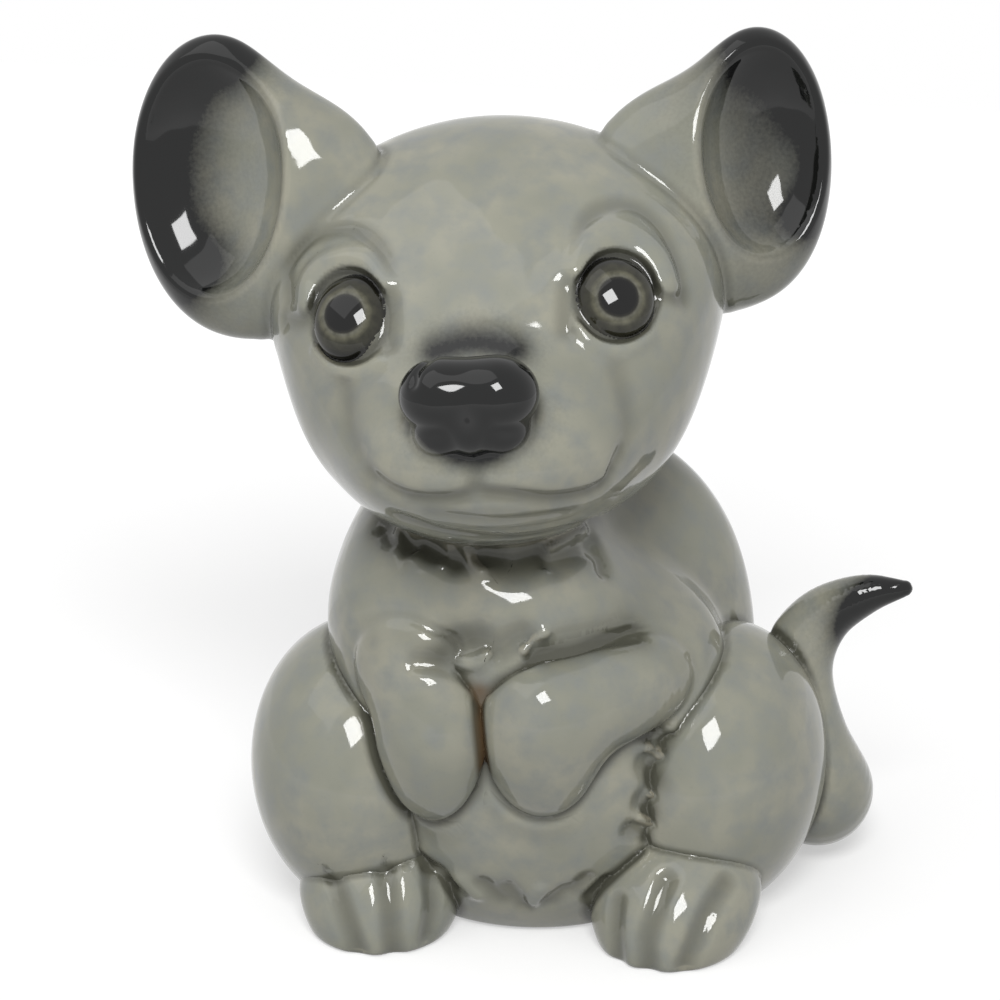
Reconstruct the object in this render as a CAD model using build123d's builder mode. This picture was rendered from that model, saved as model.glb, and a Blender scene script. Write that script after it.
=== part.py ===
"""Glazed ceramic mouse figurine: a seated mouse with large cupped ears, forepaws held to its
chest and its tail laid along the left flank. Hollow torso and head, luted together leather-hard
with the solid ears, legs, feet, tail, nose and eyes, then glazed and fired as one.

Frame: +Z up, the mouse's body faces -Y and its left side is +X. The origin is the middle of
the flat foot that it stands on. Lengths are millimetres, angles are degrees.
"""

import os
from math import cos, pi, radians, sin, sqrt

from build123d import *

os.makedirs("parts", exist_ok=True)

# Clay
wall = 4.0  # thickness of the hollow castings
ring_points = 12  # points on each closed section outline

# Torso: a pear that stands on a flat foot, its top dished to take the head
torso_height = 66.0
torso_half_width = 27.0
torso_half_depth = 27.8
torso_foot_half_width = 18.8
torso_foot_half_depth = 18.5
torso_back_set = 5.0  # how far the middle of a section sits behind the origin
torso_left_set = 1.0  # and to the mouse's left
vent_radius = 4.0
vent_back_set = 9.0  # the firing vent in the floor
# height share, width share, depth share, share of the left set, share of the back set
torso_shares = (
    (0.076, 0.83, 0.82, 1.0, 0.85),
    (0.16, 0.935, 0.925, 1.0, 0.95),
    (0.29, 1.0, 1.0, 1.0, 1.05),
    (0.45, 1.0, 1.0, 1.5, 1.25),
    (0.6, 0.965, 0.98, 1.0, 1.15),
    (0.72, 0.87, 0.915, 0.0, 1.05),
    (0.81, 0.765, 0.815, -1.2, 1.0),
    (0.89, 0.59, 0.675, -2.4, 0.85),
    (1.0, 0.28, 0.3, -3.6, 0.6),
)
foot_set_share = 0.75  # the foot's share of both sets

# Head: a round skull with a sloping face and a low broad muzzle
head_left_set = -3.2
head_back_set = -2.8
head_rise = 14.5  # its middle above the top of the torso's casting
head_yaw = 7.0  # turned to the mouse's left
head_pitch = 8.0  # nose up
head_roll = -3.5  # leaning to the mouse's right
head_half_width = 29.0
head_half_depth = 28.0
head_half_height = 27.0
neck_hole_radius = 10.0
neck_hole_share = (-0.1, 0.15)  # its middle, in the torso's half width and half depth
# height share, width share, depth share, backward share of the half depth
head_shares = (
    (-0.98, 0.33, 0.35, -0.295),
    (-0.944, 0.41, 0.445, -0.304),
    (-0.889, 0.515, 0.56, -0.313),
    (-0.778, 0.655, 0.73, -0.304),
    (-0.667, 0.74, 0.848, -0.26),
    (-0.519, 0.83, 0.955, -0.188),
    (-0.37, 0.9, 1.01, -0.116),
    (-0.148, 0.97, 0.982, 0.018),
    (0.074, 1.0, 0.893, 0.125),
    (0.296, 0.98, 0.813, 0.188),
    (0.519, 0.88, 0.67, 0.241),
    (0.741, 0.67, 0.473, 0.277),
    (0.889, 0.39, 0.26, 0.277),
    (0.935, 0.25, 0.165, 0.277),
)
chin_share = (-1.01, 0.1, 0.1, -0.29)  # the small flat at the bottom, by the same four shares
crown_share = (0.965, 0.277)  # the topmost point, by height and backward shares

# Ears: fans that spread from the temples, scooped out at the front
ear_root_share = (0.28, 0.66)  # of the head's half width and half height
ear_half_thickness = 8.0
# reach, half height, how far the root sits back, angle that the outer edge swings back, and half
# width and half height of the scoop
ear_sizes = {
    "left": (36.6, 17.8, 0.8, 19.0, 9.2, 14.6),
    "right": (38.6, 19.2, -1.6, 9.0, 11.3, 16.4),
}
scoop_depth = 8.3
# reach share, height share, thickness share, lift share of the half height
ear_shares = (
    (0.1, 0.36, 0.42, -0.12),
    (0.2, 0.54, 0.6, -0.13),
    (0.32, 0.72, 0.8, -0.14),
    (0.43, 0.83, 0.96, -0.12),
    (0.54, 0.94, 1.0, -0.08),
    (0.65, 1.0, 1.0, 0.0),
    (0.76, 0.975, 0.92, 0.04),
    (0.86, 0.83, 0.73, 0.06),
    (0.93, 0.62, 0.5, 0.07),
    (0.975, 0.36, 0.27, 0.08),
)
ear_tip_lift_share = 0.08  # the outermost point
scoop_share = (0.72, -1.0, 0.2)  # middle of the scoop: of reach, half thickness, half height

# Eyes: domed beads with a ring round the pupil, each in its own socket
eye_radius = 4.7
eye_half_thickness = 2.2
eye_proud = 1.7  # height of the dome above the skin
eye_across = 45.0  # angle from straight ahead of the line from the head's middle to each eye
eye_rise = 12.5  # and its angle above level
eye_look_across = 14.0  # angle from straight ahead that each eye looks in
eye_look_rise = 27.0
pupil_radius = 2.6
pupil_groove_radius = 0.3

# Nose and mouth
nose_half_width = 8.5
nose_half_height = 6.6
nose_half_depth = 5.2
nose_share = (-1.09, -0.2)  # its middle, in the head's half depth and half height
nostril_radius = 1.3
nostril_share = (0.6, 0.5)  # of the nose's half width and half depth
mouth_radius = 21.0
mouth_groove_radius = 0.8
mouth_drop_share = 0.6  # of the head's half height
mouth_sweep = 74.0  # angle that the mouth line turns through

# Haunches: flattened eggs against the flanks
haunch_half_width = 15.5
haunch_half_depth = 19.5
haunch_half_height = 20.2
haunch_share = (0.833, -0.036, 0.274)  # of the torso's half width, half depth and height
haunch_left_set = 2.4
haunch_stagger = 4.5  # the left one sits this far back and the right one forward
haunch_splay = 8.0

# Hind feet, pointing forward from under the haunches
foot_half_width = 10.7
foot_half_length = 12.5
foot_half_height = 9.6
foot_share = (0.726, -0.682, 0.133)  # of the torso's half width, half depth and height
foot_left_set = 4.2
foot_stagger = 1.6  # the left foot sits this far back and the right foot forward
foot_toe_out = 10.0
toe_groove_share = 0.1  # depth of the grooves between the toes, of the foot's half height
toe_fade_share = 0.3  # how fast the grooves run out
toe_groove_rise = 24.0
toe_shares = (-0.5, 0.0, 0.5)  # places of the grooves across the foot

# Forelegs: from inside the shoulder by the wrist to the end of the paw
foreleg_radius = 8.0
# leftward share of the half width, backward share of the half depth, height share, radius share
foreleg_shares = {
    "left": (
        (0.7, -0.19, 0.552, 0.75),
        (0.644, -0.406, 0.544, 0.8),
        (0.485, -0.565, 0.535, 0.85),
        (0.315, -0.71, 0.506, 0.94),
        (0.252, -0.77, 0.418, 0.88),
        (0.24, -0.77, 0.34, 0.6),
    ),
    "right": (
        (-0.426, -0.464, 0.656, 1.0),
        (-0.374, -0.644, 0.588, 1.0),
        (-0.281, -0.77, 0.492, 0.91),
        (-0.232, -0.795, 0.382, 0.8),
        (-0.225, -0.78, 0.31, 0.54),
    ),
}
end_round_share = 0.9  # how much of a limb's last radius is rounded off

# Tail: from inside the back, round the left haunch and up, its tip turned out
tail_radius = 8.2
# leftward share of the half width, backward share of the half depth, height share, radius share
tail_shares = (
    (0.0, 0.755, 0.144, 1.0),
    (0.37, 1.036, 0.136, 1.0),
    (0.778, 1.18, 0.127, 1.0),
    (1.122, 1.079, 0.124, 0.99),
    (1.33, 0.82, 0.127, 0.965),
    (1.407, 0.568, 0.16, 0.94),
    (1.341, 0.468, 0.28, 0.78),
    (1.289, 0.457, 0.4, 0.67),
    (1.315, 0.471, 0.485, 0.585),
    (1.43, 0.486, 0.561, 0.476),
    (1.626, 0.486, 0.612, 0.33),
    (1.822, 0.489, 0.632, 0.134),
)


def ring(plane, half_width, half_height, lift=0.0):
    """One closed, smooth section outline on a plane, filled in."""
    turns = [2 * pi * step / ring_points for step in range(ring_points)]
    places = [(half_width * cos(turn), lift + half_height * sin(turn)) for turn in turns]
    with BuildSketch(plane) as section:
        with BuildLine():
            Spline(*places, periodic=True)
        make_face()
    return section.sketch


def egg(half_width, half_depth, half_height):
    """An egg about the origin."""
    with BuildPart() as form:
        Sphere(1)
        scale(by=(half_width, half_depth, half_height))
    return form.part


def limb(shares, radius):
    """A tapering limb along a smooth line through places on and beside the torso, its end rounded."""
    places = [
        Vector(left * torso_half_width, back * torso_half_depth, height * torso_height)
        for left, back, height, _ in shares
    ]
    radii = [radius * share for *_, share in shares]
    with BuildLine() as path:
        Spline(*places)
    line = path.wires()[0]
    sections = []
    across = Vector(0, 0, 1)
    for place, section_radius in zip(places, radii):
        along = line % line.param_at_point(place)
        across = (across - along * across.dot(along)).normalized()
        with BuildSketch(Plane(place, x_dir=across, z_dir=along)) as section:
            Circle(section_radius)
        sections.append(section.sketch)
    with BuildPart() as form:
        sweep(sections, path=line, multisection=True)
        end_face = form.faces().sort_by_distance(places[-1])[0]
        fillet(end_face.edges(), radii[-1] * end_round_share)
    return form.part


def torso_form(inset=0.0):
    """The torso's skin, or the skin that lies inset mm inside it."""
    foot_middle = (torso_left_set * foot_set_share, torso_back_set * foot_set_share, inset)
    sections = [ring(Plane(foot_middle), torso_foot_half_width - inset, torso_foot_half_depth - inset)]
    for height, width, depth, left, back in torso_shares:
        middle = (torso_left_set * left, torso_back_set * back, torso_height * height)
        sections.append(
            ring(Plane(middle), torso_half_width * width - inset, torso_half_depth * depth - inset)
        )
    with BuildPart() as form:
        loft(sections)
    return form.part


def head_form(inset=0.0):
    """The head's skin in the head's own frame, facing -Y, or the skin that lies inset mm inside it."""
    inner_width = head_half_width - inset
    inner_depth = head_half_depth - inset
    inner_height = head_half_height - inset
    sections = []
    for height, width, depth, back in (chin_share, *head_shares):
        plane = Plane((0, head_half_depth * back, inner_height * height))
        sections.append(ring(plane, inner_width * width, inner_depth * depth))
    height, back = crown_share
    sections.append(Vertex(0, head_half_depth * back, inner_height * height))
    with BuildPart() as form:
        loft(sections)
    return form.part


def leaving(skin, start, look):
    """Where a line that starts inside the head's skin leaves it."""
    crossings = skin.find_intersection_points(Axis(start, look))
    return max((point for point, _ in crossings), key=lambda point: point.dot(Vector(look)))


def direction(across, rise):
    """The direction at an angle across from straight ahead and an angle above level."""
    level = cos(radians(rise))
    return Vector(level * sin(radians(across)), -level * cos(radians(across)), sin(radians(rise)))


def ear_form(side, reach, half_height, scoop_half_width, scoop_half_height):
    """An ear about the middle of its root: the left one for side 1, the right one for side -1."""
    sections = []
    for out, height, thickness, lift in ear_shares:
        plane = Plane((side * reach * out, 0, 0), x_dir=(0, side, 0), z_dir=(side, 0, 0))
        section_thickness = ear_half_thickness * thickness
        sections.append(ring(plane, section_thickness, half_height * height, half_height * lift))
    sections.append(Vertex(side * reach, 0, half_height * ear_tip_lift_share))
    out, back, up = scoop_share
    with BuildPart() as form:
        loft(sections)
        with Locations((side * reach * out, ear_half_thickness * back, half_height * up)):
            add(egg(scoop_half_width, scoop_depth, scoop_half_height), mode=Mode.SUBTRACT)
    return form.part


def foot_form():
    """A hind foot about its middle, pointing to -Y, with grooves that part its toes."""
    back = toe_fade_share * cos(radians(toe_groove_rise))
    down = toe_fade_share * sin(radians(toe_groove_rise))
    with BuildPart() as form:
        Sphere(1)
        for across in toe_shares:
            groove_radius = sqrt(1 - across**2) + toe_fade_share
            with Locations((across, back, -down)):
                Torus(groove_radius, toe_groove_share, rotation=(0, 90, 0), mode=Mode.SUBTRACT)
        scale(by=(foot_half_width, foot_half_length, foot_half_height))
    return form.part


def beside_torso(share, left_set, stagger, side):
    """A place on one side of the torso, by shares of its half width, half depth and height."""
    out, back, up = share
    return Pos(
        left_set + side * out * torso_half_width,
        back * torso_half_depth + side * stagger,
        up * torso_height,
    )


# Forms and places that several pieces share
sides = ((1, "left"), (-1, "right"))
torso = torso_form()
upright_head = head_form()
head_frame = (
    Pos(head_left_set, head_back_set, torso_height + head_rise)
    * Rot(Z=head_yaw)
    * Rot(X=-head_pitch)
    * Rot(Y=head_roll)
)
head = upright_head.moved(head_frame)
bead = egg(eye_radius, eye_radius, eye_half_thickness)
bead_frames = {}
for side, _ in sides:
    seat = leaving(upright_head, (0, 0, 0), direction(side * eye_across, eye_rise))
    level_line = direction(side * eye_look_across + 90, 0)
    bead_plane = Plane(seat, x_dir=level_line, z_dir=direction(side * eye_look_across, eye_look_rise))
    bead_frames[side] = head_frame * bead_plane.location * Pos(0, 0, eye_proud - eye_half_thickness)

# Torso: one hollow casting, open to the head and vented through its foot
with BuildPart() as body_shell:
    add(torso)
    add(head, mode=Mode.SUBTRACT)
    add(torso_form(wall), mode=Mode.SUBTRACT)
    with Locations((0, vent_back_set, 0)):
        Cylinder(vent_radius, 3 * wall, mode=Mode.SUBTRACT)
body_shell.part.label = "body_shell"
export_step(body_shell.part, "parts/body_shell.step")

# Head: one hollow casting with eye sockets, the mouth line and a hole over the neck
mouth_height = -head_half_height * mouth_drop_share
lip = leaving(upright_head, (0, 0, mouth_height), (0, -1, 0))
with BuildPart() as head_shell:
    add(head)
    add(head_form(wall).moved(head_frame), mode=Mode.SUBTRACT)
    with Locations(*bead_frames.values()):
        add(bead, mode=Mode.SUBTRACT)
    with Locations(head_frame * Pos(0, lip.Y + mouth_radius, mouth_height)):
        Torus(
            mouth_radius,
            mouth_groove_radius,
            major_angle=mouth_sweep,
            rotation=(0, 0, -90 - mouth_sweep / 2),
            align=None,
            mode=Mode.SUBTRACT,
        )
    left, back = neck_hole_share
    with Locations((left * torso_half_width, back * torso_half_depth, torso_height)):
        Cylinder(neck_hole_radius, 2 * head_rise, mode=Mode.SUBTRACT)
head_shell.part.label = "head_shell"
export_step(head_shell.part, "parts/head_shell.step")

# Ears: solid, bedded on the temples
out, up = ear_root_share
for side, side_name in sides:
    reach, half_height, back_set, sweep_angle, *scoop_halves = ear_sizes[side_name]
    root = Pos(side * out * head_half_width, back_set, up * head_half_height)
    with BuildPart() as ear:
        with Locations(head_frame * root * Rot(Z=side * sweep_angle)):
            add(ear_form(side, reach, half_height, *scoop_halves))
        add(head, mode=Mode.SUBTRACT)
    ear.part.label = f"{side_name}_ear"
    export_step(ear.part, f"parts/{side_name}_ear.step")

# Eyes: solid beads, the pupil ringed by a fine groove
dome_height = eye_half_thickness * sqrt(1 - (pupil_radius / eye_radius) ** 2)
for side, side_name in sides:
    with BuildPart() as eye:
        with Locations(bead_frames[side]):
            add(bead)
        with Locations(bead_frames[side] * Pos(0, 0, dome_height)):
            Torus(pupil_radius, pupil_groove_radius, mode=Mode.SUBTRACT)
    eye.part.label = f"{side_name}_eye"
    export_step(eye.part, f"parts/{side_name}_eye.step")

# Nose: a solid button with two nostrils
back, up = nose_share
nose_frame = head_frame * Pos(0, back * head_half_depth, up * head_half_height) * Rot(X=90)
out, up = nostril_share
nostrils = [
    nose_frame
    * Pos(
        side * out * nose_half_width,
        up * nose_half_height,
        sqrt(1 - out**2 - up**2) * nose_half_depth,
    )
    for side, _ in sides
]
with BuildPart() as nose:
    with Locations(nose_frame):
        add(egg(nose_half_width, nose_half_height, nose_half_depth))
    with Locations(*nostrils):
        Sphere(nostril_radius, mode=Mode.SUBTRACT)
    add(head, mode=Mode.SUBTRACT)
nose.part.label = "nose"
export_step(nose.part, "parts/nose.step")

# Haunches: solid pads against the flanks, cut flat underneath
haunches = {}
for side, side_name in sides:
    place = beside_torso(haunch_share, haunch_left_set, haunch_stagger, side)
    with BuildPart() as haunch:
        with Locations(place * Rot(Y=side * haunch_splay)):
            add(egg(haunch_half_width, haunch_half_depth, haunch_half_height))
        add(torso, mode=Mode.SUBTRACT)
        split(bisect_by=Plane.XY, keep=Keep.TOP)
    haunches[side] = haunch.part
    haunch.part.label = f"{side_name}_haunch"
    export_step(haunch.part, f"parts/{side_name}_haunch.step")

# Hind feet: solid, luted to the torso and the haunches
for side, side_name in sides:
    place = beside_torso(foot_share, foot_left_set, foot_stagger, side)
    with BuildPart() as hind_foot:
        with Locations(place * Rot(Z=side * foot_toe_out)):
            add(foot_form())
        split(bisect_by=Plane.XY, keep=Keep.TOP)
        add(torso, mode=Mode.SUBTRACT)
        add(haunches[side], mode=Mode.SUBTRACT)
    hind_foot.part.label = f"{side_name}_hind_foot"
    export_step(hind_foot.part, f"parts/{side_name}_hind_foot.step")

# Forelegs: solid, luted to the torso, the elbows against the haunches and the paws together
with BuildPart() as left_foreleg:
    add(limb(foreleg_shares["left"], foreleg_radius))
    add(torso, mode=Mode.SUBTRACT)
    add(haunches[1], mode=Mode.SUBTRACT)
left_foreleg.part.label = "left_foreleg"
export_step(left_foreleg.part, "parts/left_foreleg.step")

with BuildPart() as right_foreleg:
    add(limb(foreleg_shares["right"], foreleg_radius))
    add(torso, mode=Mode.SUBTRACT)
    add(haunches[-1], mode=Mode.SUBTRACT)
    add(left_foreleg.part, mode=Mode.SUBTRACT)
right_foreleg.part.label = "right_foreleg"
export_step(right_foreleg.part, "parts/right_foreleg.step")

# Tail: solid, luted to the back and the left haunch
with BuildPart() as tail:
    add(limb(tail_shares, tail_radius))
    split(bisect_by=Plane.XY, keep=Keep.TOP)
    add(torso, mode=Mode.SUBTRACT)
    add(haunches[1], mode=Mode.SUBTRACT)
tail.part.label = "tail"
export_step(tail.part, "parts/tail.step")
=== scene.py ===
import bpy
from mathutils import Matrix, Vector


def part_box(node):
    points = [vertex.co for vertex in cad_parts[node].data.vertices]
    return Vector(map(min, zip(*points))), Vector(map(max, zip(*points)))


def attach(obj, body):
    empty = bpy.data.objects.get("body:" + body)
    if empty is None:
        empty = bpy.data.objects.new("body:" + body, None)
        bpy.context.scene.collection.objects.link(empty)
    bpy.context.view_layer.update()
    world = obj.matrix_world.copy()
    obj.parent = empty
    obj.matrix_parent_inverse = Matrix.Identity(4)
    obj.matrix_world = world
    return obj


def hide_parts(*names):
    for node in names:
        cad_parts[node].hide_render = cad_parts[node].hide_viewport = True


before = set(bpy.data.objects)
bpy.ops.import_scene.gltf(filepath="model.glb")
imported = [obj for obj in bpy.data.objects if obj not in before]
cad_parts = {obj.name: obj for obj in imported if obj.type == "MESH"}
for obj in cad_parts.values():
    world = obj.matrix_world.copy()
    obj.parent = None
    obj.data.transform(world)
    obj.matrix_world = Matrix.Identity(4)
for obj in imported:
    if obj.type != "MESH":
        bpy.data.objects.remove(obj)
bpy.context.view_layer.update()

from concurrent.futures import ThreadPoolExecutor

import bpy
import numpy as np
from mathutils import Matrix, Vector

# Torso
# The torso is a pear-shaped hollow slip casting of white earthenware, wiped smooth, with tufts of
# fur tooled into it below the chin, over the paws and along the belly. It stands on its flat foot,
# and every other piece is luted to it or to the head while the clay is leather-hard.
millimetre = 0.001
cell = 0.5  # spacing of the net that each skin is made on
block = 8  # cells on a side of the blocks that are searched for the skin
foot_round = 0.9  # how softly a wiped edge turns at the table
torso_eggs = (
    # middle from the casting's own middle, half sizes, how softly it flows into the one before
    ((-0.3, -2.4, -11.9), (27.0, 26.2, 27.0), 0.0),
    ((-6.9, -6.9, 8.7), (19.5, 21.4, 24.0), 8.0),
    ((3.8, 11.8, 1.9), (22.8, 16.0, 27.0), 12.0),
    ((-13.4, -15.3, 9.4), (8.0, 8.0, 11.0), 8.0),
    ((13.4, -9.3, 4.4), (10.0, 9.0, 8.5), 9.0),
    ((3.0, -17.0, 10.5), (9.5, 9.5, 10.0), 9.0),
)
camera_turn = 12.0  # degrees round to the mouse's left
camera_rise = 20.0  # degrees above level
camera_distance = 480.0
camera_target = (-3.13, -0.67, 55.4)
picture_pixels = 1000
pixel_size = 0.1318  # millimetres that a pixel covers at the target
# Each stroke of the tool: pixels of the photograph that it runs through, half width, depth
torso_strokes = (
    (((386, 526), (402, 536), (410, 546)), 1.4, 1.4),
    (((396, 531), (402, 545), (399, 556)), 0.7, -0.9),
    (((415, 532), (419, 548), (414, 560)), 0.7, -1.0),
    (((422, 542), (440, 552), (456, 560)), 1.2, 1.6),
    (((446, 540), (449, 552), (444, 563)), 0.6, -0.8),
    (((466, 545), (472, 558), (482, 568)), 0.8, -1.0),
    (((488, 556), (512, 563), (540, 556)), 1.5, 1.6),
    (((584, 531), (562, 540), (548, 552), (547, 566)), 0.7, -1.0),
    (((556, 561), (574, 552), (590, 543)), 1.1, 1.6),
    (((592, 546), (600, 558), (603, 570)), 0.8, 1.0),
    (((384, 638), (388, 650), (390, 662)), 1.0, 1.0),
    (((400, 636), (404, 648), (406, 658)), 0.7, -0.7),
    (((410, 640), (418, 648), (424, 656)), 1.0, 1.0),
    (((434, 654), (455, 643), (478, 640)), 1.4, 1.3),
    (((458, 663), (476, 662), (489, 653)), 0.7, -0.9),
    (((500, 652), (512, 641), (522, 636)), 1.1, 1.2),
    (((524, 650), (534, 640), (545, 634)), 0.6, -0.7),
    (((546, 655), (580, 646), (632, 638)), 1.5, 1.5),
    (((646, 720), (655, 735), (664, 742)), 1.1, 1.3),
    (((662, 716), (672, 728)), 0.7, -0.7),
    (((650, 748), (662, 756), (672, 760)), 0.7, -0.9),
    (((650, 764), (658, 778), (668, 788)), 1.2, 1.6),
    (((652, 796), (664, 802), (674, 802)), 0.6, -0.9),
    (((644, 802), (656, 812)), 1.0, 1.5),
    (((640, 818), (658, 824)), 0.6, -0.8),
    (((632, 830), (648, 836)), 0.9, 1.2),
    (((418, 858), (432, 868)), 0.8, 0.8),
    (((440, 872), (450, 886)), 0.7, 0.9),
    (((462, 880), (476, 894)), 0.8, -0.8),
    (((484, 884), (502, 900)), 0.8, 0.9),
    (((508, 888), (524, 906)), 0.8, 0.9),
    (((532, 902), (540, 890)), 0.7, -0.8),
    (((550, 902), (564, 892)), 0.8, 0.9),
    (((572, 892), (586, 880)), 0.8, 0.9),
    (((590, 896), (606, 882)), 0.8, 0.7),
)
step_shift = 0.04  # how far apart the field is read to find which way a skin faces
near_eye = 380.0  # how far from the camera a ray of sight starts
sight_steps = 90  # steps that a ray of sight takes to a form
sight_share = 0.7  # and the share of the distance read that each one covers
slab_points = 12000  # points read in one go
hands = ThreadPoolExecutor()
upright = np.eye(3)
fade_reach = 4  # half widths from a stroke's line to where it has faded out
tiny = 1e-9  # keeps a share from being taken of nothing
far_off = 1000.0  # a distance beyond any on the figure
near_share = 0.8  # share of the net's spacing within which a point belongs to a skin or a wall
settling_rounds = 3  # times that the net's points are moved onto their skin or wall
least_slope = 0.05  # keeps that move short where a form's distance hardly changes
least_spread = 0.02  # and where skin and wall run side by side


def node_box(node):
    """The lowest and highest corners of a node of the solid model, in millimetres."""
    low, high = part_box(node)
    return np.array(low) / millimetre, np.array(high) / millimetre


def node_middle(node):
    """The middle of a node's box, in millimetres."""
    low, high = node_box(node)
    return (low + high) / 2


def turned(yaw=0.0, pitch=0.0, roll=0.0):
    """Axes as columns: yaw turns a face to the mouse's left, pitch lifts it, roll leans it left."""
    yaw, pitch, roll = np.radians((yaw, pitch, roll))
    about_y = np.array(((np.cos(roll), 0, np.sin(roll)), (0, 1, 0), (-np.sin(roll), 0, np.cos(roll))))
    about_x = np.array(((1, 0, 0), (0, np.cos(pitch), np.sin(pitch)), (0, -np.sin(pitch), np.cos(pitch))))
    about_z = np.array(((np.cos(yaw), -np.sin(yaw), 0), (np.sin(yaw), np.cos(yaw), 0), (0, 0, 1)))
    return about_z @ about_x @ about_y


def flow(first, second, reach):
    """The lower of two distances, flowing into each other over a reach."""
    if np.isscalar(reach) and not reach:
        return np.minimum(first, second)
    overlap = np.maximum(reach - np.abs(first - second), 0.0) / reach
    return np.minimum(first, second) - overlap**2 * reach / 4


def trim(first, second, reach):
    """The higher of two distances, rounded over a reach."""
    return -flow(-first, -second, reach)


def egg(middle, half, axes=upright):
    """Distance to an egg."""
    middle = np.asarray(middle, float)
    half = np.asarray(half, float)

    def form(points):
        local = (points - middle) @ axes / half
        size = np.sqrt((local**2).sum(1))
        slope = np.sqrt(((local / half) ** 2).sum(1))
        return size * (size - 1) / np.maximum(slope, tiny)

    return form


def eggs(rows, origin=(0, 0, 0), axes=upright):
    """Distance to eggs that flow into each other, placed from an origin along axes."""
    forms = [
        (egg(np.asarray(origin) + axes @ np.asarray(middle), half, axes), reach)
        for middle, half, reach in rows
    ]

    def form(points):
        distance = forms[0][0](points)
        for one, reach in forms[1:]:
            distance = flow(distance, one(points), reach)
        return distance

    return form


def curve(places, steps=8):
    """A smooth line through places, with so many steps between each two."""
    places = np.asarray(places, float)
    ends = np.vstack((2 * places[0] - places[1], places, 2 * places[-1] - places[-2]))
    line = []
    for before, start, end, after in zip(ends, ends[1:], ends[2:], ends[3:]):
        for share in np.arange(steps) / steps:
            line.append(
                start
                + (end - before) * share / 2
                + (2 * before - 5 * start + 4 * end - after) * share**2 / 2
                + (3 * start - before - 3 * end + after) * share**3 / 2
            )
    line.append(places[-1])
    return np.array(line)


def squared_distance(points, line):
    """Squared distance to a line of straight runs."""
    nearest = np.full(len(points), np.inf)
    for start, end in zip(line, line[1:]):
        run = end - start
        share = np.clip((points - start) @ run / max(run @ run, tiny), 0, 1)
        nearest = np.minimum(nearest, ((points - start - share[:, None] * run) ** 2).sum(1))
    return nearest


def fade_box(line, width):
    """The lowest and highest corners of the box that a stroke fades out in."""
    return line.min(0) - fade_reach * width, line.max(0) + fade_reach * width


def tooled(form, strokes):
    """A form with strokes pressed into it, or raised from it where the depth is below zero."""
    placed = [(*fade_box(line, width), line, width, depth) for line, width, depth in strokes]

    def marked(points):
        distance = form(points)
        if not len(points):
            return distance
        lowest, highest = points.min(0), points.max(0)
        for low, high, line, width, depth in placed:
            if (low > highest).any() or (high < lowest).any():
                continue
            near = np.flatnonzero(((points > low) & (points < high)).all(1))
            closeness = np.exp(-squared_distance(points[near], line) / (2 * width**2))
            distance[near] += depth * closeness
        return distance

    return marked


def on_table(form):
    """A form cut off level where it stands."""
    return lambda points: trim(form(points), -points[:, 2], foot_round)


def read(form, points):
    """A form's distance at each point, worked out one slab of points at a time."""
    slabs = np.array_split(points, len(points) // slab_points + 1)
    return np.concatenate(list(hands.map(form, slabs)))


def slope_of(form, points):
    """The distance at each point, and the way that it grows fastest."""
    corners = np.array(((1, -1, -1), (-1, -1, 1), (-1, 1, -1), (1, 1, 1)))
    readings = [read(form, points + corner * step_shift) for corner in corners]
    slope = sum(reading[:, None] * corner for reading, corner in zip(readings, corners))
    return sum(readings) / 4, slope / (4 * step_shift)


camera_along = np.radians((camera_turn, camera_rise))
camera_right = np.array((np.cos(camera_along[0]), np.sin(camera_along[0]), 0.0))
camera_away = np.array((-np.sin(camera_along[0]), np.cos(camera_along[0]), 0.0))
world_up = np.array((0.0, 0.0, 1.0))
camera_look = np.cos(camera_along[1]) * camera_away - np.sin(camera_along[1]) * world_up
camera_up = np.sin(camera_along[1]) * camera_away + np.cos(camera_along[1]) * world_up
camera_place = np.array(camera_target) - camera_distance * camera_look


def seen(form, pixels):
    """Where the photograph's pixels fall on a form."""
    across, down = (np.asarray(pixels, float).T - picture_pixels / 2) * pixel_size / camera_distance
    rays = across[:, None] * camera_right - down[:, None] * camera_up + camera_look
    rays /= np.linalg.norm(rays, axis=1)[:, None]
    travel = np.full(len(rays), near_eye)
    for _ in range(sight_steps):
        travel += sight_share * form(camera_place + travel[:, None] * rays)
    return camera_place + travel[:, None] * rays


def drawn(form, strokes):
    """Strokes, of a tool or of colour, given by the photograph's pixels and laid on a form."""
    return [(seen(form, curve(pixels)), width, depth) for pixels, width, depth in strokes]


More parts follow.
